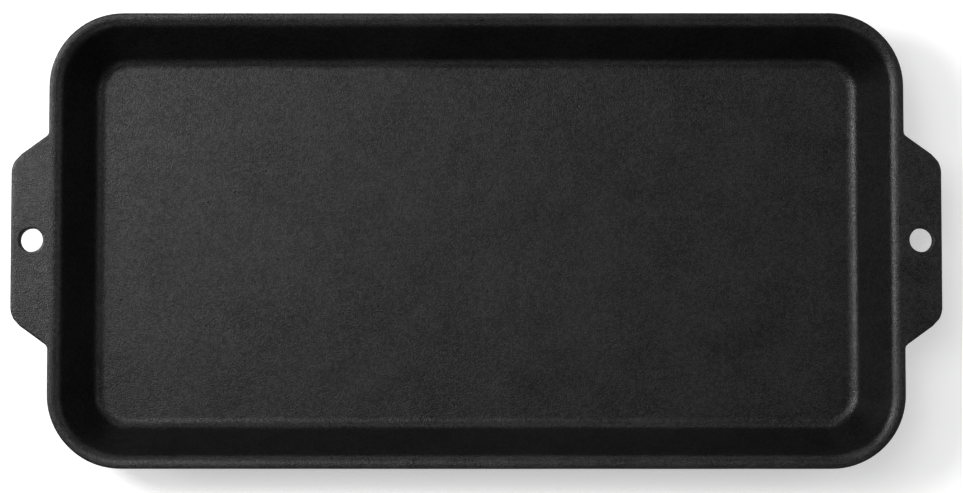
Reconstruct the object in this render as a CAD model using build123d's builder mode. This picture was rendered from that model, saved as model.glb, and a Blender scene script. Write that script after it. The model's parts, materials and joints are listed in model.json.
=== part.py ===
"""Rectangular cast-iron griddle pan: a shallow tray with two lug handles, poured as one casting.

Frame: +X along the length, +Y across the width, +Z up. The origin is the centre of the base,
on the surface that the pan stands on. Millimetres throughout.
"""
from build123d import *
import os
from math import radians, tan

# ---- driving dimensions ------------------------------------------------------------------------
body_length = 397.5        # over the rounded rim, without the lugs
body_width = 212.0         # over the rounded rim
body_height = 30.0         # base to rim
rim_corner_radius = 34.5   # of the rim's outline, seen from above
wall_lean = 30.0           # of the side walls from the vertical, degrees
floor_thickness = 5.0
land_width = 2.1           # strip round the rim, from its outline to the inner roundover
roundover_radius = 5.8     # rim into the inner wall
cove_radius = 6.2          # inner wall into the floor
rim_edge_radius = 0.9      # outer edge of the rim and the lugs
base_edge_radius = 9.0     # outer wall into the base

lug_projection = 17.25     # past the rim
lug_root_width = 98.5      # along the rim, before the root fillets
lug_tip_width = 73.5       # along the tip, before its corners are rounded
lug_thickness = 7.0
lug_corner_radius = 11.0   # seen from above
lug_under_radius = 1.5     # lower edge of the lug
lug_root_radius = 2.5      # where the lug's sides and underside run into the wall
hole_diameter = 11.0       # hanging hole
hole_to_tip = 9.5          # hole centre to the lug's tip

# ---- values that follow ------------------------------------------------------------------------
slope = tan(radians(wall_lean))
# The rim is an acute edge. A rounding of radius 1 starts this far from its sharp line ...
acute_setback = 1 / tan(radians(90 - wall_lean) / 2)
# ... so the sharp line stands this far outside the rounded rim.
rim_overhang = rim_edge_radius * (acute_setback - 1)
sharp_length = body_length + 2 * rim_overhang
sharp_width = body_width + 2 * rim_overhang
sharp_corner_radius = rim_corner_radius + rim_overhang

# The inner edge is an obtuse one, and its wall meets the rim's level this far inside the outline.
mouth_inset = land_width + roundover_radius / acute_setback
mouth_length = body_length - 2 * mouth_inset
mouth_width = body_width - 2 * mouth_inset
mouth_corner_radius = rim_corner_radius - mouth_inset

# Each lug's plate runs on under the rim into the wall, along the same slanting sides.
lug_tip_x = body_length / 2 + lug_projection
lug_buried_x = body_length / 2 - land_width - lug_thickness * slope
side_slant = (lug_root_width - lug_tip_width) / 2 / lug_projection
lug_buried_width = lug_tip_width + 2 * side_slant * (lug_tip_x - lug_buried_x)
lug_under_z = body_height - lug_thickness
hole_x = lug_tip_x - hole_to_tip

TOLERANCE = 0.01


def at_level(level):
    """A filter for the edges that lie wholly at one height."""
    def lies_there(edge):
        box = edge.bounding_box()
        return abs(box.min.Z - level) < TOLERANCE and abs(box.max.Z - level) < TOLERANCE
    return lies_there


def outside_end_wall(point):
    """How far a point stands out of the nearer sloping end wall, along X."""
    return abs(point.X) - (sharp_length / 2 - (body_height - point.Z) * slope)


def is_free(edge):
    """True for an edge that stands clear of the end walls."""
    return outside_end_wall(edge.center()) > TOLERANCE


def is_seam(edge):
    """True for an edge where a lug meets an end wall: in the wall, beside or under the lug."""
    in_wall = all(abs(outside_end_wall(edge @ share)) < TOLERANCE for share in (0, 0.5, 1))
    lowest = edge.bounding_box().min.Z
    return in_wall and lug_under_z - TOLERANCE < lowest < body_height - TOLERANCE


with BuildPart() as pan:
    # Outer form: the rim's outline, narrowing to the base at the walls' lean.
    with BuildSketch(Plane.XY.offset(body_height)):
        RectangleRounded(sharp_length, sharp_width, sharp_corner_radius)
    extrude(amount=-body_height, taper=wall_lean)
    fillet(pan.edges().group_by(Axis.Z)[0], base_edge_radius)

    # Lugs, flush with the rim, their tips rounded in plan and their lower edges eased.
    with BuildSketch(Plane.XY.offset(body_height)) as lug_plan:
        for side in (-1, 1):
            with BuildLine():
                Polyline(
                    (side * lug_buried_x, lug_buried_width / 2),
                    (side * lug_tip_x, lug_tip_width / 2),
                    (side * lug_tip_x, -lug_tip_width / 2),
                    (side * lug_buried_x, -lug_buried_width / 2),
                    close=True,
                )
            make_face()
        fillet(lug_plan.vertices().filter_by(lambda corner: abs(corner.X) > body_length / 2),
               lug_corner_radius)
    extrude(amount=-lug_thickness)
    fillet(pan.edges().filter_by(at_level(lug_under_z)).filter_by(is_free), lug_under_radius)
    fillet(pan.edges().filter_by(is_seam), lug_root_radius)

    # The well, with its walls parallel to the outer ones.
    with BuildSketch(Plane.XY.offset(body_height)):
        RectangleRounded(mouth_length, mouth_width, mouth_corner_radius)
    extrude(amount=floor_thickness - body_height, taper=wall_lean, mode=Mode.SUBTRACT)
    fillet(pan.edges().filter_by(at_level(floor_thickness)), cove_radius)
    fillet(pan.faces().sort_by(Axis.Z)[-1].inner_wires()[0].edges(), roundover_radius)
    fillet(pan.faces().sort_by(Axis.Z)[-1].outer_wire().edges(), rim_edge_radius)

    # Hanging holes.
    with Locations((-hole_x, 0, body_height), (hole_x, 0, body_height)):
        Hole(hole_diameter / 2, depth=lug_thickness)

pan.part.label = "pan"
os.makedirs("parts", exist_ok=True)
export_step(pan.part, "parts/pan.step")
print("pan", "valid" if pan.part.is_valid else "not valid", "volume", round(pan.part.volume, 1))
print(pan.part.bounding_box())
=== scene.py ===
"""Looks of a rectangular cast-iron griddle pan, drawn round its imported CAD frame.

The pan is one casting, so the model is one closed mesh. Seen from above it is a flat net of
points: rings that follow the rim inwards, a patch for the floor, a patch for each lug and a
round one about each hanging hole. The casting's upper and under surfaces are both heights
over that net, and a narrow band joins them where the outline or a hole is more than an edge.
All lengths are metres, in the frame of the CAD model: +X along the pan, +Z up, base at zero.
"""
import json
import logging
import math
from dataclasses import dataclass, field
from enum import Enum

import bpy
import numpy as np
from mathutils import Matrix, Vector


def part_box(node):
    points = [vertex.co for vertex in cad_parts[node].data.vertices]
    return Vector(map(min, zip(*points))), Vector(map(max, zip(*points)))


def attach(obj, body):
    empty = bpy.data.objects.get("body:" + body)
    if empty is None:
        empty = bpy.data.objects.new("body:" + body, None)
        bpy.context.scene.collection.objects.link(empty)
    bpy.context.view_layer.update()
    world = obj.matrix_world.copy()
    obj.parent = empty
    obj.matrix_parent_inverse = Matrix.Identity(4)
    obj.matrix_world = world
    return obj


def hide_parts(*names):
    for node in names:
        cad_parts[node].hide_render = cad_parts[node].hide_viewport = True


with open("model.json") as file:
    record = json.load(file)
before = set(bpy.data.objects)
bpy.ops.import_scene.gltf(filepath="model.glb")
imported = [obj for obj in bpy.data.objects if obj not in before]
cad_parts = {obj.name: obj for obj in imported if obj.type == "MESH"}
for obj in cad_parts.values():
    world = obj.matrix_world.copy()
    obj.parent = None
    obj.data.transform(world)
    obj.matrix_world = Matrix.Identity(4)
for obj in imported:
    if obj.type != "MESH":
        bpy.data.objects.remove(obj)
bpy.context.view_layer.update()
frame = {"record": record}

NODE = "pan"
BODY = "root"
MM = 0.001
NOWHERE = -1        # marks a place in an index grid that has no point
FAR = 1.0           # a distance larger than anything on the pan

log = logging.getLogger("griddle_pan")


def mount(name: str) -> dict:
    """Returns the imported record's mount of that name.

    Args:
        name: the mount's name in the record.

    Returns:
        The mount's entry, with its place in metres and its sizes in millimetres.
    """
    return next(entry for entry in frame["record"]["mounts"] if entry["name"] == name)


def ease(edge: np.ndarray, radius: float) -> np.ndarray:
    """How far a quarter-round edge has dropped, at some distances in from its outline.

    A circle of the given radius: radius less the root of radius squared less the square of
    what is left to its top.

    Args:
        edge: distances in from the outline; those past the radius give zero.
        radius: of the rounding.

    Returns:
        The drops, in metres.
    """
    left = np.clip(radius - edge, 0.0, radius)
    return radius - np.sqrt(radius**2 - left**2)


class Surface(Enum):
    """The two surfaces that are drawn over the net."""

    UPPER = 1
    UNDER = -1


@dataclass(frozen=True)
class Tray:
    """The tray: its rim outline and the section that is carried round it."""

    half_length: float
    half_width: float
    height: float
    corner: float = 34.5 * MM         # rim outline, in plan
    lean: float = math.radians(30)    # walls, from the vertical
    floor: float = 5.0 * MM
    land: float = 2.1 * MM            # outline to the inner roundover
    roundover: float = 5.8 * MM
    cove: float = 6.2 * MM
    rim_edge: float = 0.9 * MM
    base_edge: float = 9.0 * MM

    @property
    def tilt(self) -> float:
        """Angle of the walls from the level."""
        return math.pi / 2 - self.lean

    @property
    def foot_end(self) -> float:
        """Inset at which the cove has become the flat floor."""
        mouth = self.land + self.roundover * math.tan(self.tilt / 2)
        drop = self.height - self.floor
        return mouth + drop * math.tan(self.lean) + self.cove * math.tan(self.tilt / 2)

    def inset(self, x: np.ndarray, y: np.ndarray) -> np.ndarray:
        """Distance in from the rim's outline: that of a rounded rectangle, negative outside.

        Args:
            x: places along the pan.
            y: places across it.

        Returns:
            The distances.
        """
        over_x = np.abs(x) - (self.half_length - self.corner)
        over_y = np.abs(y) - (self.half_width - self.corner)
        outside = np.hypot(np.maximum(over_x, 0), np.maximum(over_y, 0))
        return self.corner - outside - np.minimum(np.maximum(over_x, over_y), 0)

    def insets(self) -> np.ndarray:
        """The rings' insets from the land to the floor: close on the curves, wider between."""
        steps = np.linspace(0, self.tilt, 7)
        over = self.land + self.roundover * np.sin(steps)
        cove = self.foot_end - self.cove * np.sin(steps[::-1])
        wall = np.linspace(over[-1], cove[0], 7)
        return np.concatenate([over, wall[1:-1], cove])

    def upper(self, inset: np.ndarray) -> np.ndarray:
        """Height of the inner surface: level land, arc, straight wall, arc, level floor.

        Args:
            inset: distances in from the outline.

        Returns:
            The heights.
        """
        sine = math.sin(self.tilt)
        over_end = self.land + self.roundover * sine
        across = np.clip(inset - self.land, 0, self.roundover * sine)
        over = self.height - self.roundover + np.sqrt(self.roundover**2 - across**2)
        fall = (inset - over_end) / math.tan(self.lean)
        wall = self.height - self.roundover * (1 - math.cos(self.tilt)) - fall
        back = np.clip(self.foot_end - inset, 0, self.cove * sine)
        cove = self.floor + self.cove - np.sqrt(self.cove**2 - back**2)
        return np.where(inset < over_end, over,
                        np.where(inset < self.foot_end - self.cove * sine, wall, cove))

    def under(self, inset: np.ndarray) -> np.ndarray:
        """Height of the outer surface: arc under the rim's edge, straight wall, arc, level base.

        Args:
            inset: distances in from the outline; the wall's line runs on outside it.

        Returns:
            The heights.
        """
        edge = self.rim_edge
        turn_end = edge * (1 - math.cos(self.lean))
        left = np.clip(edge - inset, 0, edge)
        turn = self.height - edge - np.sqrt(edge**2 - left**2)
        line_top = self.height - edge * (1 + math.sin(self.lean))
        wall = line_top - (inset - turn_end) / math.tan(self.lean)
        middle = turn_end + line_top * math.tan(self.lean) + self.base_edge * math.tan(self.tilt / 2)
        back = np.clip(middle - inset, 0, self.base_edge * math.sin(self.tilt))
        base = self.base_edge - np.sqrt(self.base_edge**2 - back**2)
        on_edge = (inset >= 0) & (inset < turn_end)
        return np.where(on_edge, turn,
                        np.where(inset < middle - self.base_edge * math.sin(self.tilt), wall, base))


@dataclass(frozen=True)
class Lug:
    """A lug handle at the +X end; the other one is the same, turned half round."""

    root_x: float                     # the rim's end
    tip_x: float
    top: float
    thickness: float
    root_half: float = 49.25 * MM
    tip_half: float = 36.75 * MM
    corner: float = 11.0 * MM
    root_fillet: float = 2.5 * MM
    under_edge: float = 1.5 * MM
    blend: float = 3.0 * MM           # height over which the underside runs into the wall
    side_rise: float = 4.0            # steepness of the lug's flank under the rim

    @property
    def side(self) -> np.ndarray:
        """Direction of the slanting side, from the root to the tip."""
        run = np.array([self.tip_x - self.root_x, self.tip_half - self.root_half])
        return run / np.linalg.norm(run)

    @property
    def turn(self) -> float:
        """Angle between the rim's end and the slanting side."""
        return math.acos(-self.side[1])

    @property
    def join_half(self) -> float:
        """Half the width over which the lug alters the rim's outline or its underside."""
        clear = self.blend + self.thickness - self.flank(np.array(0.0))
        return self.root_half + float(clear) / self.side_rise / self.side[0]

    def flank(self, past: np.ndarray) -> np.ndarray:
        """Height of the underside above its level: an arc at the edge, then a steep slope.

        Args:
            past: distances outside the lug's outline, negative inside it.

        Returns:
            The heights above the lug's lower face.
        """
        radius, rise = self.under_edge, self.side_rise
        reach = past + radius
        arc_end = radius * rise / math.hypot(1, rise)
        along = np.clip(reach, 0, arc_end)
        return radius - np.sqrt(radius**2 - along**2) + rise * np.maximum(reach - arc_end, 0)

    def past(self, x: np.ndarray, y: np.ndarray) -> np.ndarray:
        """Distance outside the lug's plan, a trapezium with rounded tips, negative inside.

        Within the wedge of a tip corner it is the distance to the corner's centre less its
        radius, and elsewhere the larger of the distances past the side and past the tip. The
        plate is rooted a little way inside the wall and ends there.

        Args:
            x: places along the pan, of either sign.
            y: places across it.

        Returns:
            The distances.
        """
        x, y = np.abs(x), np.abs(y)
        along, normal = self.side, np.array([-self.side[1], self.side[0]])
        side = (x - self.root_x) * normal[0] + (y - self.root_half) * normal[1]
        tip = x - self.tip_x
        centre = self._corner_centre()
        dx, dy = x - centre[0], y - centre[1]
        in_wedge = (dy > 0) & (dx * along[0] + dy * along[1] > 0)
        past = np.where(in_wedge, np.hypot(dx, dy) - self.corner, np.maximum(side, tip))
        return np.where(x < self.root_x - self.thickness, FAR, past)

    def _corner_centre(self) -> np.ndarray:
        """Centre of the tip corner's arc on the +Y side."""
        cut = self.corner * math.tan(self.turn / 2)
        return np.array([self.tip_x - self.corner, self.tip_half - cut])

    def half_outline(self, hole_half: float) -> tuple[np.ndarray, np.ndarray]:
        """The outline on the +Y side, from the rim's end to the patch about the hole.

        Straight runs and arcs in turn: the rim's end, the root's fillet, the slanting side,
        the tip's corner and the tip.

        Args:
            hole_half: half the width of the patch about the hole.

        Returns:
            The points and the outward directions, both from the outside in.
        """
        side, turn = self.side, self.turn
        root_cut = self.root_fillet * math.tan(turn / 2)
        root_start = np.array([self.root_x, self.root_half + root_cut])
        root_centre = root_start + [self.root_fillet, 0]
        tip_centre = self._corner_centre()

        def arc(centre: np.ndarray, radius: float, start: float, sweep: float,
                count: int) -> tuple[np.ndarray, np.ndarray]:
            """Points on an arc and its directions away from the centre, without the first."""
            angles = start + sweep * np.linspace(0, 1, count + 1)[1:]
            away = np.stack([np.cos(angles), np.sin(angles)], 1)
            return centre + radius * away, away

        def run(start: np.ndarray, end: np.ndarray, count: int) -> np.ndarray:
            """Evenly spaced points on a straight run, without the first."""
            return start + (end - start) * np.linspace(0, 1, count + 1)[1:, None]

        join = np.array([self.root_x, self.join_half])
        fillet, inward = arc(root_centre, self.root_fillet, math.pi, turn, 3)
        corner, outward = arc(tip_centre, self.corner, math.pi / 2 - turn, -(math.pi / 2 - turn), 7)
        corner_start = tip_centre + self.corner * np.array([-side[1], side[0]])
        slant = run(fillet[-1], corner_start, 8)
        tip_end = np.array([self.tip_x, hole_half])
        tip = run(corner[-1], tip_end, 13)
        points = np.concatenate([[join], run(join, root_start, 1), fillet, slant, corner, tip])
        normals = np.concatenate([
            np.tile([1.0, 0.0], (2, 1)), -inward, np.tile([-side[1], side[0]], (8, 1)), outward,
            np.tile([1.0, 0.0], (13, 1)),
        ])
        return points, normals


@dataclass(frozen=True)
class HangingHole:
    """The round hole in a lug, with its lightly eased edges."""

    centre_x: float
    radius: float
    edge: float = 0.35 * MM


class PlanNet:
    """The casting's points and faces seen from above, with each point's distance to an edge."""

    def __init__(self) -> None:
        """Starts an empty net."""
        self._points: list[np.ndarray] = []
        self._edges: list[np.ndarray] = []
        self._bores: list[np.ndarray] = []
        self._quads: list[np.ndarray] = []
        self._count = 0

    def add(self, points: np.ndarray, edge: float = FAR, bore: float = FAR) -> np.ndarray:
        """Adds points.

        Args:
            points: their places, an array whose last axis is X and Y.
            edge: their distance in from the outline, where its rounding matters.
            bore: their distance from a hole's wall, where its easing matters.

        Returns:
            The points' numbers, in the shape of the array without its last axis.
        """
        shape = points.shape[:-1]
        size = int(np.prod(shape))
        self._points.append(points.reshape(-1, 2))
        self._edges.append(np.full(size, edge))
        self._bores.append(np.full(size, bore))
        first = self._count
        self._count += size
        return np.arange(first, self._count).reshape(shape)

    def cover(self, grid: np.ndarray) -> None:
        """Adds the quads between neighbouring entries of a grid of point numbers.

        Args:
            grid: the numbers; a quad with a corner that is NOWHERE is left out.
        """
        corners = [grid[:-1, :-1], grid[:-1, 1:], grid[1:, 1:], grid[1:, :-1]]
        quads = np.stack([part.ravel() for part in corners], 1)
        self._quads.append(quads[(quads != NOWHERE).all(1)])

    def points(self) -> np.ndarray:
        """All points, one row each."""
        return np.concatenate(self._points)

    def edges(self) -> np.ndarray:
        """Each point's distance in from the outline."""
        return np.concatenate(self._edges)

    def bores(self) -> np.ndarray:
        """Each point's distance from a hole's wall."""
        return np.concatenate(self._bores)

    def faces(self) -> tuple[np.ndarray, np.ndarray]:
        """The faces, turned anticlockwise.

        Returns:
            The quads, and the triangles that stand where two of a quad's corners are one point.
        """
        quads = np.concatenate(self._quads)
        flat = self.points()[quads]
        across = flat[:, 2] - flat[:, 0]
        other = flat[:, 3] - flat[:, 1]
        clockwise = across[:, 0] * other[:, 1] - across[:, 1] * other[:, 0] < 0
        quads[clockwise] = quads[clockwise][:, ::-1]
        same = quads == np.roll(quads, -1, axis=1)
        twins = same.sum(1)
        triangles = quads[twins == 1]
        keep = ~same[twins == 1]
        return quads[twins == 0], triangles[keep].reshape(-1, 3)


@dataclass
class CastSkin:
    """The slight unevenness that a sand mould leaves, always into the metal."""

    waves: tuple[tuple[float, float], ...] = ((46 * MM, 0.10 * MM), (17 * MM, 0.05 * MM),
                                              (6.5 * MM, 0.025 * MM))
    seed: int = 11

    def depth(self, places: np.ndarray) -> np.ndarray:
        """Depth of the skin below the true surface.

        For each wave, random numbers on a cubic lattice of the wave's length are blended
        between the eight nearest with a smooth step, and scaled by the wave's height.

        Args:
            places: points of the surface, one row each.

        Returns:
            The depths, from zero to the sum of the heights.
        """
        random = np.random.default_rng(self.seed)
        depth = np.zeros(len(places))
        for length, height in self.waves:
            scaled = (places - places.min(0)) / length + random.random(3)
            cell = np.floor(scaled).astype(int)
            part = scaled - cell
            part = part * part * (3 - 2 * part)
            lattice = random.random(cell.max(0) + 2)
            total = np.zeros(len(places))
            for corner in np.ndindex(2, 2, 2):
                weight = np.prod(np.where(corner, part, 1 - part), axis=1)
                total += weight * lattice[tuple((cell + corner).T)]
            depth += height * total
        return depth


@dataclass
class GriddlePan:
    """The whole casting: the tray, its two lugs and their hanging holes, in one closed mesh."""

    tray: Tray
    lug: Lug
    hole: HangingHole
    skin: CastSkin = field(default_factory=CastSkin)
    corner_steps: int = 20            # round each rim corner
    end_steps: int = 9                # rim corner to lug
    side_steps: int = 188             # along each long side
    hole_steps: int = 12              # across the patch about a hole
    lug_rows: int = 10                # land to the lug's edge
    hole_rings: int = 5               # patch edge to the hole's easing
    band_rows: int = 4                # down a lug's edge or a hole's wall
    edge_angles: np.ndarray = field(default_factory=lambda: np.radians([0, 22.5, 45, 67.5, 90]))

    @property
    def hole_half(self) -> float:
        """Half the side of the square patch about a hole, from the land to the lug's edge."""
        inner = self.tray.half_length - self.tray.land
        return (self.lug.tip_x - self.tray.rim_edge - inner) / 2

    def _half_loop(self) -> dict[str, np.ndarray]:
        """Half the rim, anticlockwise: the +X end from corner to corner, then the +Y side.

        A point of the rim is a corner's centre or a straight's point, plus the corner's radius
        along the outward direction, so rings of any inset keep the corners' centres.

        Returns:
            rim: the rim's points. out: their outward directions. outline: the points of the
            outline, which runs round the lug. away: the outline's outward directions. lug: a
            mark on the points whose outline is the lug's.
        """
        tray, lug = self.tray, self.lug
        centre = np.array([tray.half_length - tray.corner, tray.half_width - tray.corner])
        half = self.corner_steps // 2
        points, normals = lug.half_outline(self.hole_half)
        hole_y = np.linspace(-self.hole_half, self.hole_half, self.hole_steps + 1)[1:-1]
        plain = np.linspace(centre[1], lug.join_half, self.end_steps)[:-1]
        lug_y = np.concatenate([-points[:, 1], hole_y, points[::-1, 1]])
        end_y = np.concatenate([-plain, lug_y, plain[::-1]])

        angle = np.linspace(-math.pi / 4, 0, half + 1)[:-1]
        low = np.stack([np.cos(angle), np.sin(angle)], 1)
        angle = np.linspace(0, math.pi / 2, self.corner_steps + 1)
        high = np.stack([np.cos(angle), np.sin(angle)], 1)[1:-1]
        angle = np.linspace(math.pi / 2, 3 * math.pi / 4, half + 1)[:-1]
        far = np.stack([np.cos(angle), np.sin(angle)], 1)[1:]
        side_x = np.linspace(centre[0], -centre[0], self.side_steps + 1)

        end_out = np.tile([1.0, 0.0], (len(end_y), 1))
        side_out = np.tile([0.0, 1.0], (len(side_x), 1))
        out = np.concatenate([low, end_out, high, side_out, far])
        anchor = np.concatenate([
            np.tile(centre * [1, -1], (len(low), 1)),
            np.stack([np.full(len(end_y), centre[0]), end_y], 1),
            np.tile(centre, (len(high), 1)),
            np.stack([side_x, np.full(len(side_x), centre[1])], 1),
            np.tile(centre * [-1, 1], (len(far), 1)),
        ])
        rim = anchor + tray.corner * out
        outline, away = rim.copy(), out.copy()
        mark = np.zeros(len(rim), bool)
        first = len(low) + len(plain)
        last = first + len(lug_y)
        flip = np.array([1, -1])
        tip = np.stack([np.full(len(hole_y), lug.tip_x), hole_y], 1)
        outline[first:last] = np.concatenate([points * flip, tip, points[::-1]])
        away[first:last] = np.concatenate([normals * flip, np.tile([1.0, 0.0], (len(tip), 1)),
                                           normals[::-1]])
        mark[first + 1:last - 1] = True
        return {"rim": rim, "out": out, "outline": outline, "away": away, "lug": mark}

    def _net(self) -> tuple[PlanNet, np.ndarray]:
        """Lays the net over the casting's plan.

        Returns:
            The net, and a mark on the outline's points where the two surfaces meet in an edge.
        """
        half = self._half_loop()
        loop = {key: np.concatenate([value, value if key == "lug" else -value])
                for key, value in half.items()}
        net = PlanNet()
        edge = self.tray.rim_edge
        edge_rows = [net.add(loop["outline"] - step * loop["away"], edge=step)
                     for step in edge * (1 - np.cos(self.edge_angles))]
        rings = [net.add(loop["rim"] - inset * loop["out"]) for inset in self.tray.insets()]

        land, brink = rings[0], edge_rows[-1]
        in_patch = loop["lug"] & (np.abs(loop["rim"][:, 1]) < self.hole_half - MM / 100)
        fan = loop["lug"] & ~in_patch
        places = net.points()
        fill = []
        for share in np.linspace(1, 0, self.lug_rows + 1)[1:-1]:
            row = land.copy()
            row[in_patch] = NOWHERE
            between = places[land[fan]] * (1 - share) + places[brink[fan]] * share
            row[fan] = net.add(between)
            fill.append(row)
        rows = np.array(edge_rows + fill + rings)
        net.cover(np.concatenate([rows, rows[:, :1]], 1))

        columns = np.flatnonzero(in_patch)
        for block in np.split(columns, 2):
            self._hole_patch(net, rows, land, np.arange(block[0] - 1, block[-1] + 2))
        self._floor_patch(net, rings[-1])
        merged = np.zeros(len(net.points()), bool)
        merged[edge_rows[0][~loop["lug"]]] = True
        return net, merged

    def _hole_patch(self, net: PlanNet, rows: np.ndarray, land: np.ndarray,
                    columns: np.ndarray) -> None:
        """Rings from the square about a hole to the hole's wall.

        Each ring's point is the square's point and the circle's in the same direction, mixed.

        Args:
            net: the net to add to.
            rows: the point numbers of all rows, from the outline inwards.
            land: the numbers of the land's row.
            columns: the stations across the square, its two sides included.
        """
        brink_row = len(self.edge_angles) - 1
        fill = rows[brink_row:brink_row + self.lug_rows]
        side_up = fill[1:, columns[-1]][::-1]
        side_down = fill[1:, columns[0]]
        loop = np.concatenate([land[columns], side_up, rows[brink_row, columns[::-1]], side_down])
        places = net.points()
        square = places[loop]
        centre = np.array([math.copysign(self.hole.centre_x, square[0, 0]), 0.0])
        angle = np.arctan2(*(square - centre).T[::-1])
        circle = np.stack([np.cos(angle), np.sin(angle)], 1)
        reach = self.hole.radius + self.hole.edge
        rings = [loop]
        for share in np.linspace(0, 1, self.hole_rings + 1)[1:-1]:
            rings.append(net.add(square * (1 - share) + (centre + reach * circle) * share))
        for step in self.hole.edge * (1 - np.cos(self.edge_angles[::-2])):
            rings.append(net.add(centre + (self.hole.radius + step) * circle, bore=step))
        grid = np.array(rings)
        net.cover(np.concatenate([grid, grid[:, :1]], 1))

    def _floor_patch(self, net: PlanNet, ring: np.ndarray) -> None:
        """Fills the flat floor inside the last ring.

        A patch stretched between its four sides: the mix of the two ends, plus the mix of the
        two long sides, less the mix of the four corners.

        Args:
            net: the net to add to.
            ring: the numbers of the floor's outermost ring, from a corner's middle.
        """
        side = self.side_steps + self.corner_steps
        end = len(ring) // 2 - side
        loop = np.append(ring, ring[0])
        right, top = loop[:end + 1], loop[end:end + side + 1]
        left = loop[end + side:2 * end + side + 1][::-1]
        bottom = loop[2 * end + side:][::-1]
        places = net.points()
        up = (places[right, 1] - places[right[0], 1]) / np.ptp(places[right, 1])
        on = (places[top[0], 0] - places[top, 0]) / np.ptp(places[top, 0])
        up, on = up[:, None, None], on[None, :, None]
        ends = places[right][:, None] * (1 - on) + places[left][:, None] * on
        sides = places[bottom][None] * (1 - up) + places[top][None] * up
        low = places[right[0]] * (1 - on) + places[left[0]] * on
        high = places[right[-1]] * (1 - on) + places[left[-1]] * on
        inside = (ends + sides - low * (1 - up) - high * up)[1:-1, 1:-1]
        grid = np.empty((end + 1, side + 1), int)
        grid[:, 0], grid[:, -1], grid[0], grid[-1] = right, left, bottom, top
        grid[1:-1, 1:-1] = net.add(inside)
        net.cover(grid)

    def _heights(self, net: PlanNet) -> dict[Surface, np.ndarray]:
        """The heights of both surfaces over the net.

        The under surface is the lower of the tray's wall and the lug's underside, eased where
        they are within the blend of each other: less the square of what is left of the blend,
        over four times the blend.

        Args:
            net: the finished net.

        Returns:
            The heights over every point, for each surface.
        """
        tray, lug = self.tray, self.lug
        x, y = net.points().T
        inset = tray.inset(x, y)
        bore = ease(net.bores(), self.hole.edge)
        upper = np.where(inset > tray.land, tray.upper(inset), tray.height)
        upper = upper - ease(net.edges(), tray.rim_edge) - bore
        wall = tray.under(inset)
        plate = lug.top - lug.thickness + lug.flank(lug.past(x, y))
        near = np.maximum(lug.blend - np.abs(wall - plate), 0)
        under = np.minimum(wall, plate) - near**2 / (4 * lug.blend) + bore
        return {Surface.UPPER: upper, Surface.UNDER: under}

    def _shell(self) -> tuple[np.ndarray, list[np.ndarray]]:
        """Puts the surfaces and the bands between them together.

        Returns:
            The points, and the faces as arrays of quads and triangles, facing outwards.
        """
        net, merged = self._net()
        flat, heights = net.points(), self._heights(net)
        quads, triangles = net.faces()
        count = len(flat)
        upper = np.column_stack([flat, heights[Surface.UPPER]])
        under = np.column_stack([flat, heights[Surface.UNDER]])
        below = np.where(merged, np.arange(count), np.arange(count) + count)

        # An outline's edge is one that no neighbour runs back along.
        runs = [np.stack([face, np.roll(face, -1, axis=1)], 2).reshape(-1, 2)
                for face in (quads, triangles)]
        runs = np.concatenate(runs)
        forth = runs[:, 0] * count + runs[:, 1]
        back = runs[:, 1] * count + runs[:, 0]
        border = runs[~np.isin(forth, back)]
        border = border[~merged[border].all(1)]

        rows = [np.arange(count)]
        places = [upper, under]
        for share in np.linspace(0, 1, self.band_rows + 1)[1:-1]:
            number = np.arange(count) + count * len(places)
            rows.append(np.where(merged, np.arange(count), number))
            places.append(upper * (1 - share) + under * share)
        rows.append(below)
        bands = []
        for row, next_row in zip(rows, rows[1:]):
            band = np.stack([row[border[:, 1]], row[border[:, 0]],
                             next_row[border[:, 0]], next_row[border[:, 1]]], 1)
            same = band == np.roll(band, -1, axis=1)
            bands.append(band[same.sum(1) == 0])
            corner = same.sum(1) == 1
            bands.append(band[corner][~same[corner]].reshape(-1, 3))
        faces = [quads, triangles, below[quads[:, ::-1]], below[triangles[:, ::-1]], *bands]
        points = np.concatenate(places)
        used = np.zeros(len(points), bool)
        for part in faces:
            used[part] = True
        number = np.cumsum(used) - 1
        return points[used], [number[part] for part in faces]

    def build(self) -> bpy.types.Object:
        """Builds the casting and gives it its skin.

        Returns:
            The finished piece, at the origin, riding on the pan's body.
        """
        points, parts = self._shell()
        faces = [face for part in parts for face in part.tolist()]
        mesh = bpy.data.meshes.new("casting")
        mesh.from_pydata(points.tolist(), [], faces)
        mesh.polygons.foreach_set("use_smooth", np.ones(len(faces), bool))
        mesh.update()
        normals = np.empty(len(points) * 3)
        mesh.vertices.foreach_get("normal", normals)
        normals = normals.reshape(-1, 3)
        pressed = points - normals * self.skin.depth(points)[:, None]
        mesh.vertices.foreach_set("co", pressed.ravel())
        self._mark(mesh, points, normals)
        mesh.update()
        piece = bpy.data.objects.new("griddle_pan_casting", mesh)
        bpy.context.scene.collection.objects.link(piece)
        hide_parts(NODE)
        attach(piece, BODY)
        log.info("casting: %d points, %d faces", len(points), len(faces))
        return piece

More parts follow.
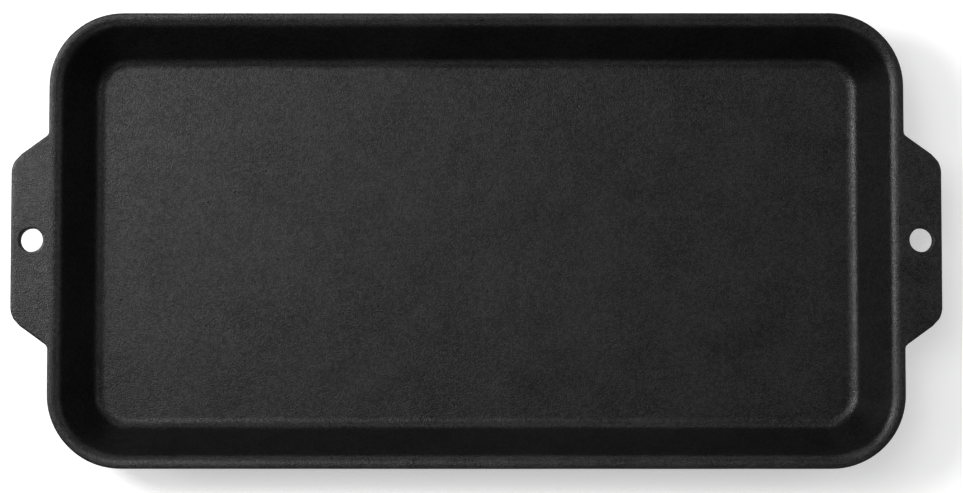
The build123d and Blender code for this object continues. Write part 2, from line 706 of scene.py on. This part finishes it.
    def _mark(self, mesh: bpy.types.Mesh, points: np.ndarray, normals: np.ndarray) -> None:
        """Stores where hands and cloths rub the casting, which also carries a painted highlight, and
        the upright places that carry painted shade.

        Rubbed is a bell over the inset about the rim's roundover, and whole on the lugs' tops; the
        material lightens it there, partly as wear and partly as a painted highlight. Dull grows as a
        surface nears the upright, on the rim's outer edge, the lugs' edges and the holes' walls, and
        is nothing inside the tray; the material makes it duller there and paints shade by darkening
        its colour.

        Args:
            mesh: the casting's mesh.
            points: its points, before the skin is pressed in.
            normals: the surface's directions at them.
        """
        tray = self.tray
        inset = tray.inset(points[:, 0], points[:, 1])
        middle = tray.land + tray.roundover / 3
        bell = np.exp(-((inset - middle) / tray.roundover * 2) ** 2)
        high = np.clip((points[:, 2] - tray.height + 2 * tray.roundover) / tray.roundover, 0, 1)
        # partly wear, partly a painted highlight: the land and the lugs' tops, which the material
        # lightens
        rubbed_and_highlight = np.where(inset < middle, 1.0, bell) * high
        lift = normals[:, 2]
        start, whole, facing_down = 0.75, 0.25, -0.45
        upright = np.clip((start - np.abs(lift)) / (start - whole), 0, 1)
        # painted shade on upright edges and the holes' walls, where the material darkens the colour;
        # also a duller finish there
        dull_and_shade = np.where((inset < tray.land) & (lift > facing_down), upright, 0.0)
        for name, values in (("rubbed_and_highlight", rubbed_and_highlight), ("dull_and_shade", dull_and_shade)):
            layer = mesh.attributes.new(name, "FLOAT", "POINT")
            layer.data.foreach_set("value", values.astype(np.float32))

    def dress(self, piece: bpy.types.Object, finish: bpy.types.Material) -> None:
        """Gives the casting its finish.

        Args:
            piece: the casting.
            finish: its material.
        """
        piece.data.materials.append(finish)


def new_group(name: str, inputs: dict[str, float], outputs: list[str]) -> bpy.types.NodeTree:
    """Starts a shader node group that takes a place, named Vector.

    Args:
        name: the group's name.
        inputs: its number inputs and their values.
        outputs: its number outputs.

    Returns:
        The group, with its input and output nodes named "in" and "out".
    """
    group = bpy.data.node_groups.new(name, "ShaderNodeTree")
    group.interface.new_socket("Vector", in_out="INPUT", socket_type="NodeSocketVector")
    for key, value in inputs.items():
        socket = group.interface.new_socket(key, in_out="INPUT", socket_type="NodeSocketFloat")
        socket.default_value = value
    for key in outputs:
        group.interface.new_socket(key, in_out="OUTPUT", socket_type="NodeSocketFloat")
    group.nodes.new("NodeGroupInput").name = "in"
    group.nodes.new("NodeGroupOutput").name = "out"
    return group


@dataclass
class NodeDesk:
    """Short ways to add and join nodes in one tree."""

    tree: bpy.types.NodeTree

    def add(self, kind: str, sockets: dict[str | int, object] | None = None,
            **settings: object) -> bpy.types.Node:
        """Adds a node.

        Args:
            kind: the node's type.
            sockets: input sockets by name or number, each with a value or an output to join.
            settings: the node's own settings.

        Returns:
            The node.
        """
        node = self.tree.nodes.new(kind)
        for key, value in settings.items():
            setattr(node, key, value)
        for key, value in (sockets or {}).items():
            if isinstance(value, bpy.types.NodeSocket):
                self.tree.links.new(value, node.inputs[key])
            else:
                node.inputs[key].default_value = value
        return node

    def math(self, operation: str, *values: object) -> bpy.types.NodeSocket:
        """Adds a Math node and returns its output.

        Args:
            operation: the node's operation.
            values: its inputs in order, numbers or outputs.

        Returns:
            The result's socket.
        """
        return self.add("ShaderNodeMath", dict(enumerate(values)), operation=operation).outputs[0]

    def ramp(self, value: bpy.types.NodeSocket, low: float, high: float,
             to_low: float = 0.0, to_high: float = 1.0) -> bpy.types.NodeSocket:
        """Maps a value from one range to another, clamped, with a smooth step.

        Args:
            value: the socket to map.
            low: where it starts.
            high: where it ends.
            to_low: the result at the start.
            to_high: the result at the end.

        Returns:
            The result's socket.
        """
        sockets = {"Value": value, "From Min": low, "From Max": high,
                   "To Min": to_low, "To Max": to_high}
        node = self.add("ShaderNodeMapRange", sockets, interpolation_type="SMOOTHSTEP")
        return node.outputs["Result"]

    def noise(self, vector: bpy.types.NodeSocket, size: object, detail: float,
              roughness: float = 0.5) -> bpy.types.NodeSocket:
        """Adds a noise whose features are about as wide as a length.

        Args:
            vector: the place.
            size: the features' width in metres, a number or an output.
            detail: its finer layers.
            roughness: how strong those are.

        Returns:
            The noise's value.
        """
        scale = self.math("DIVIDE", 1.0, size)
        sockets = {"Vector": vector, "Scale": scale, "Detail": detail, "Roughness": roughness}
        return self.add("ShaderNodeTexNoise", sockets).outputs["Fac"]


def sand_grain() -> bpy.types.NodeTree:
    """The relief that moulding sand prints on iron: fine grains on coarser ones, pits in patches."""
    sizes = {"Fine": 0.6 * MM, "Coarse": 2.1 * MM, "Pits": 4.0 * MM, "Patches": 9.0 * MM}
    group = new_group("Sand grain", sizes, ["Height", "Specks", "Pitted"])
    desk = NodeDesk(group)
    inside, out = group.nodes["in"].outputs, group.nodes["out"].inputs
    fine = desk.noise(inside["Vector"], inside["Fine"], 1.0, 0.6)
    coarse = desk.noise(inside["Vector"], inside["Coarse"], 2.0, 0.6)
    scale = desk.math("DIVIDE", 1.0, inside["Pits"])
    cells = desk.add("ShaderNodeTexVoronoi", {"Vector": inside["Vector"], "Scale": scale})
    pit = desk.ramp(cells.outputs["Distance"], 0.05, 0.20, 1.0, 0.0)
    chosen = desk.ramp(desk.noise(inside["Vector"], inside["Patches"], 1.0), 0.60, 0.70)
    pitted = desk.math("MULTIPLY", pit, chosen)
    height = desk.math("MULTIPLY_ADD", coarse, 0.50, fine)
    height = desk.math("SUBTRACT", height, desk.math("MULTIPLY", pitted, 0.7))
    group.links.new(height, out["Height"])
    group.links.new(desk.ramp(height, 0.60, 0.93), out["Specks"])
    group.links.new(pitted, out["Pitted"])
    return group


def seasoning() -> bpy.types.NodeTree:
    """Baked-on oil: broad clouds, smaller smudges and a few thin spots."""
    sizes = {"Cloud": 38 * MM, "Smudge": 9 * MM, "Spot": 13 * MM}
    group = new_group("Seasoning", sizes, ["Clouds", "Smudges", "Spots"])
    desk = NodeDesk(group)
    inside, out = group.nodes["in"].outputs, group.nodes["out"].inputs
    clouds = desk.noise(inside["Vector"], inside["Cloud"], 4.0, 0.62)
    smudges = desk.noise(inside["Vector"], inside["Smudge"], 3.0, 0.6)
    spots = desk.ramp(desk.noise(inside["Vector"], inside["Spot"], 3.0, 0.7), 0.62, 0.74)
    group.links.new(clouds, out["Clouds"])
    group.links.new(smudges, out["Smudges"])
    group.links.new(spots, out["Spots"])
    return group


@dataclass(frozen=True)
class SeasonedIron:
    """Black seasoned cast iron: a dark, grainy metal with a broad, cloudy gloss."""

    groups: dict[str, bpy.types.NodeTree]
    dark: tuple[float, float, float] = (0.0105, 0.0105, 0.0108)
    # the light end of the tone: worn iron, and the painted highlight on the rubbed places
    worn_and_highlight: tuple[float, float, float] = (0.0410, 0.0410, 0.0414)
    metal: float = 0.82
    smooth: float = 0.30
    rough: float = 0.41
    grain_depth: float = 0.16 * MM
    cloud_gain: float = 0.16          # how much each of these lightens the iron
    smudge_gain: float = 0.10
    speck_gain: float = 0.60
    # lift on rubbed places: partly wear, partly a painted highlight on the land and the lugs' tops
    wear_and_highlight_gain: float = 0.08
    spot_cover: float = 0.35          # how much of that spots and pits hide
    pit_cover: float = 0.60

    def material(self) -> bpy.types.Material:
        """Makes the material.

        Returns:
            A material that reads Object coordinates and the marks of rubbed places, with their
            painted highlight, and of dull places, with their painted shade.
        """
        finish = bpy.data.materials.new("seasoned_cast_iron")
        finish.use_nodes = True
        tree = finish.node_tree
        desk = NodeDesk(tree)
        shader = tree.nodes["Principled BSDF"]
        place = desk.add("ShaderNodeTexCoord").outputs["Object"]
        grain = desk.add("ShaderNodeGroup", node_tree=self.groups["grain"])
        oil = desk.add("ShaderNodeGroup", node_tree=self.groups["seasoning"])
        tree.links.new(place, grain.inputs["Vector"])
        tree.links.new(place, oil.inputs["Vector"])
        # rubbed places: wear, and a painted highlight where the tone is lifted below
        rubbed_and_highlight = desk.add("ShaderNodeAttribute", attribute_name="rubbed_and_highlight").outputs["Fac"]
        # dull places: a duller finish, and painted shade where the colour is darkened below
        dull_and_shade = desk.add("ShaderNodeAttribute", attribute_name="dull_and_shade").outputs["Fac"]
        clean_unshaded = desk.math("SUBTRACT", 1.0, dull_and_shade)
        tree.links.new(desk.math("MULTIPLY", clean_unshaded, self.metal), shader.inputs["Metallic"])

        cloud = desk.ramp(oil.outputs["Clouds"], 0.25, 0.75)
        smudge = desk.ramp(oil.outputs["Smudges"], 0.3, 0.7)
        gain = desk.math("MULTIPLY_ADD", rubbed_and_highlight, self.smudge_gain, self.smudge_gain)
        smudge = desk.math("MULTIPLY", smudge, gain)
        tone = desk.math("MULTIPLY_ADD", cloud, self.cloud_gain, smudge)
        tone = desk.math("MULTIPLY_ADD", grain.outputs["Specks"], self.speck_gain, tone)
        # painted highlight, partly wear: the land and the lugs' tops lightened towards the light
        # colour
        tone = desk.math("MULTIPLY_ADD", rubbed_and_highlight, self.wear_and_highlight_gain, tone)
        hidden = desk.math("MULTIPLY", grain.outputs["Pitted"], self.pit_cover)
        hidden = desk.math("MULTIPLY_ADD", oil.outputs["Spots"], self.spot_cover, hidden)
        tone = desk.math("MULTIPLY", tone, desk.math("SUBTRACT", 1.0, hidden))
        # painted shade: the rim's outer edge, the lugs' edges and the holes' walls are darkened to
        # the dark colour
        tone = desk.math("MULTIPLY", tone, clean_unshaded)
        colour = desk.add("ShaderNodeMix", {"Factor": tone}, data_type="RGBA")
        colour.inputs["A"].default_value = (*self.dark, 1)
        colour.inputs["B"].default_value = (*self.worn_and_highlight, 1)
        tree.links.new(colour.outputs["Result"], shader.inputs["Base Color"])

        smudge = desk.math("SUBTRACT", oil.outputs["Smudges"], 0.5)
        smudge = desk.math("MULTIPLY", smudge, desk.math("MULTIPLY_ADD", rubbed_and_highlight, 0.5, 0.08))
        rough = desk.ramp(desk.math("ADD", oil.outputs["Clouds"], smudge), 0.25, 0.75,
                          self.smooth, self.rough)
        rough = desk.math("MAXIMUM", rough, dull_and_shade)
        tree.links.new(rough, shader.inputs["Roughness"])
        bump = desk.add("ShaderNodeBump", {"Strength": 1.0, "Distance": self.grain_depth,
                                           "Height": grain.outputs["Height"]})
        tree.links.new(bump.outputs["Normal"], shader.inputs["Normal"])
        return finish


@dataclass(frozen=True)
class Softbox:
    """A square light that faces the pan's middle, placed by its direction and distance."""

    name: str
    lean: float                       # from straight above, in degrees
    bearing: float                    # from +X towards +Y, in degrees
    distance: float
    size: float
    power: float                      # watts

    def hang(self) -> None:
        """Adds the light to the scene."""
        lean, bearing = math.radians(self.lean), math.radians(self.bearing)
        level = math.sin(lean)
        place = Vector((level * math.cos(bearing), level * math.sin(bearing), math.cos(lean)))
        lamp = bpy.data.lights.new(self.name, "AREA")
        lamp.shape = "SQUARE"
        lamp.size = self.size
        lamp.energy = self.power
        softbox = bpy.data.objects.new(self.name, lamp)
        softbox.location = place * self.distance
        softbox.rotation_euler = place.to_track_quat("Z", "Y").to_euler()
        bpy.context.scene.collection.objects.link(softbox)


@dataclass
class Studio:
    """White paper on a table, softboxes round it, mostly at the upper left, and the camera."""

    floor_half: float = 6.0
    floor_tone: float = 0.80
    floor_glow: float = 0.41          # to the camera's own view of the paper
    room: float = 0.12                # the room's own light
    softboxes: tuple[Softbox, ...] = (
        Softbox("key", 22, 137, 1.7, 0.94, 8.0),
        Softbox("near", 45, 160, 1.08, 0.26, 6.2),
        Softbox("left", 58, 177, 1.2, 0.30, 3.0),
        Softbox("back", 65, 90, 1.5, 0.80, 3.0),
        Softbox("right", 45, 15, 1.7, 0.94, 3.6),
        Softbox("front", 45, -90, 1.7, 0.94, 2.5),
    )
    camera_place: tuple[float, float, float] = (-0.0002, -0.0734, 1.2739)
    camera_turn: tuple[float, float, float] = (3.182, 0.072, 0.003)   # degrees
    lens: float = 100.5               # millimetres, on a 36 mm wide frame
    shift: tuple[float, float] = (0.0094, 0.0026)

    def floor(self) -> bpy.types.Object:
        """Lays the paper: diffuse, with a glow that only the view and reflections of it get."""
        corner = self.floor_half
        mesh = bpy.data.meshes.new("paper")
        mesh.from_pydata([(-corner, -corner, 0), (corner, -corner, 0), (corner, corner, 0),
                          (-corner, corner, 0)], [], [(0, 1, 2, 3)])
        floor = bpy.data.objects.new("paper", mesh)
        bpy.context.scene.collection.objects.link(floor)
        finish = bpy.data.materials.new("white_paper")
        finish.use_nodes = True
        tree = finish.node_tree
        tree.nodes.clear()
        desk = NodeDesk(tree)
        path = desk.add("ShaderNodeLightPath").outputs
        seen = desk.math("ADD", path["Is Camera Ray"], path["Is Glossy Ray"])
        seen = desk.math("ADD", seen, path["Is Transmission Ray"])
        seen = desk.math("MINIMUM", seen, 1.0)
        tone = (self.floor_tone,) * 3
        paper = desk.add("ShaderNodeBsdfDiffuse", {"Color": (*tone, 1)})
        glow = desk.add("ShaderNodeEmission",
                        {"Strength": desk.math("MULTIPLY", seen, self.floor_glow)})
        both = desk.add("ShaderNodeAddShader", {0: paper.outputs[0], 1: glow.outputs[0]})
        desk.add("ShaderNodeOutputMaterial", {"Surface": both.outputs[0]})
        mesh.materials.append(finish)
        return floor

    def lights(self) -> None:
        """Sets the room's even light and hangs the softboxes."""
        scene = bpy.context.scene
        scene.world = bpy.data.worlds.new("room")
        scene.world.use_nodes = True
        sky = scene.world.node_tree.nodes["Background"].inputs
        sky["Color"].default_value = (1, 1, 1, 1)
        sky["Strength"].default_value = self.room
        for softbox in self.softboxes:
            softbox.hang()

    def camera(self) -> None:
        """Hangs the camera over the pan, a little towards its front."""
        eye = bpy.data.cameras.new("camera")
        eye.lens = self.lens
        eye.sensor_width = 36.0
        eye.shift_x, eye.shift_y = self.shift
        camera = bpy.data.objects.new("camera", eye)
        camera.location = self.camera_place
        camera.rotation_euler = [math.radians(turn) for turn in self.camera_turn]
        bpy.context.scene.collection.objects.link(camera)
        bpy.context.scene.camera = camera


def main() -> None:
    """Builds the pan and the studio."""
    logging.basicConfig(level=logging.INFO, format="%(name)s: %(message)s")
    bpy.context.scene.view_settings.view_transform = "Standard"
    low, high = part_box(NODE)
    hole = mount("hanging_hole_right")
    projection = 17.25 * MM
    tray = Tray(half_length=high.x - projection, half_width=high.y, height=high.z - low.z)
    lug = Lug(root_x=tray.half_length, tip_x=high.x, top=high.z,
              thickness=hole["dims"]["length_mm"] * MM)
    round_hole = HangingHole(centre_x=hole["pos_m"][0], radius=hole["dims"]["r_mm"] * MM)
    pan = GriddlePan(tray, lug, round_hole)
    casting = pan.build()
    iron = SeasonedIron({"grain": sand_grain(), "seasoning": seasoning()})
    pan.dress(casting, iron.material())
    studio = Studio()
    studio.floor()
    studio.lights()
    studio.camera()
    log.info("studio ready")


if __name__ == "__main__":
    main()
